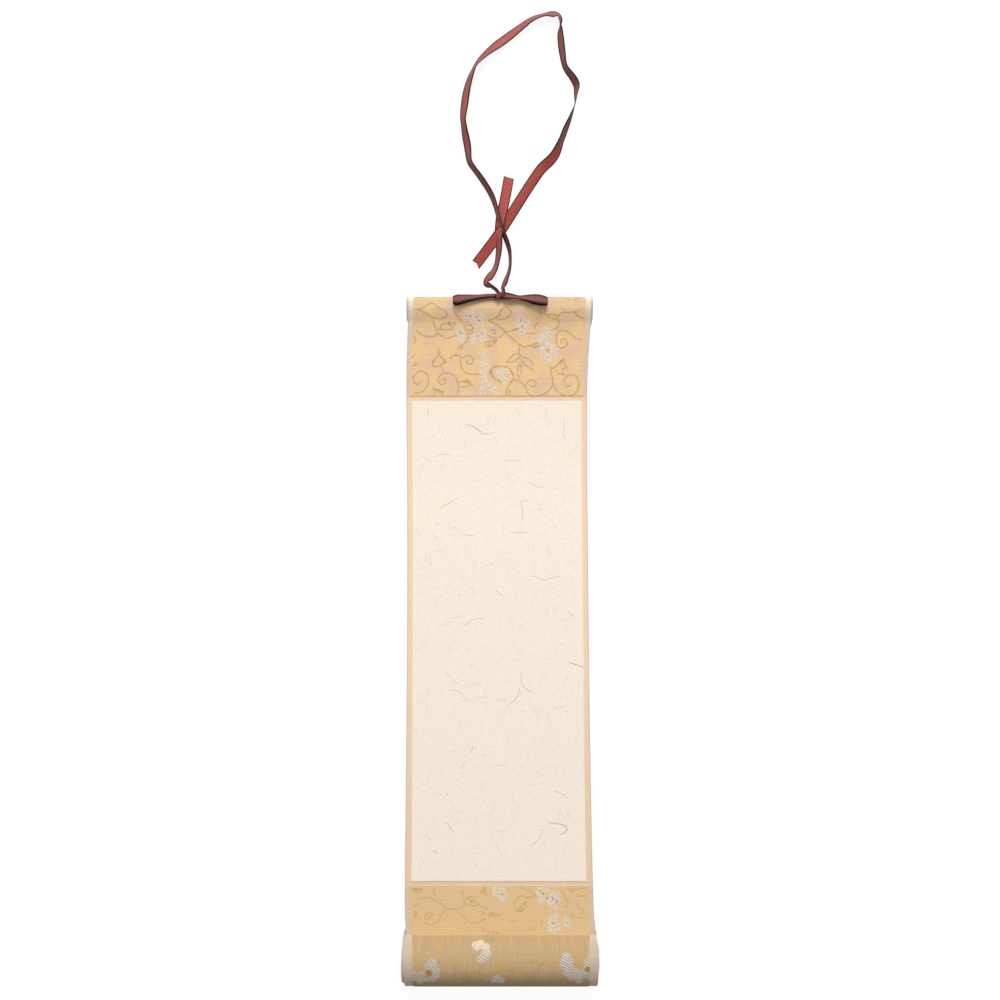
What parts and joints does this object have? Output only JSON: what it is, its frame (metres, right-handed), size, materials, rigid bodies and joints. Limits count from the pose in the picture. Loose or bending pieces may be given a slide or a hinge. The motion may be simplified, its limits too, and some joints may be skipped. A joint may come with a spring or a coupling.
{
  "type": "hanging scroll",
  "caption": "Small blank paper hanging scroll with floral brocade ends, rods in cloth pockets and a loose maroon ribbon tied at the top",
  "frame": {"origin": "on the table under the middle of the scroll's length and width, rods included and ribbon left out", "axes": "+X across the sheet to its right as read, +Y up the sheet towards the top rod, +Z out of the written face, away from the table"},
  "size_m": [0.11, 0.5729, 0.0282],
  "materials": {
    "backing_paper": "matte",
    "brocade_cloth": "woven, slight sheen",
    "washi_paper": "matte",
    "rod_wood": "matte",
    "maroon_ribbon": "woven, matte"
  },
  "bodies": {
    "root": {"backing": "backing_paper", "top_brocade": "brocade_cloth", "bottom_brocade": "brocade_cloth", "paper_panel": "washi_paper", "top_rod": "rod_wood", "bottom_roller": "rod_wood", "ribbon_knot": "maroon_ribbon", "bow_loop_left": "maroon_ribbon", "bow_loop_right": "maroon_ribbon", "ribbon_long_tail": "maroon_ribbon", "ribbon_short_tail": "maroon_ribbon"}
  },
  "joints": []
}
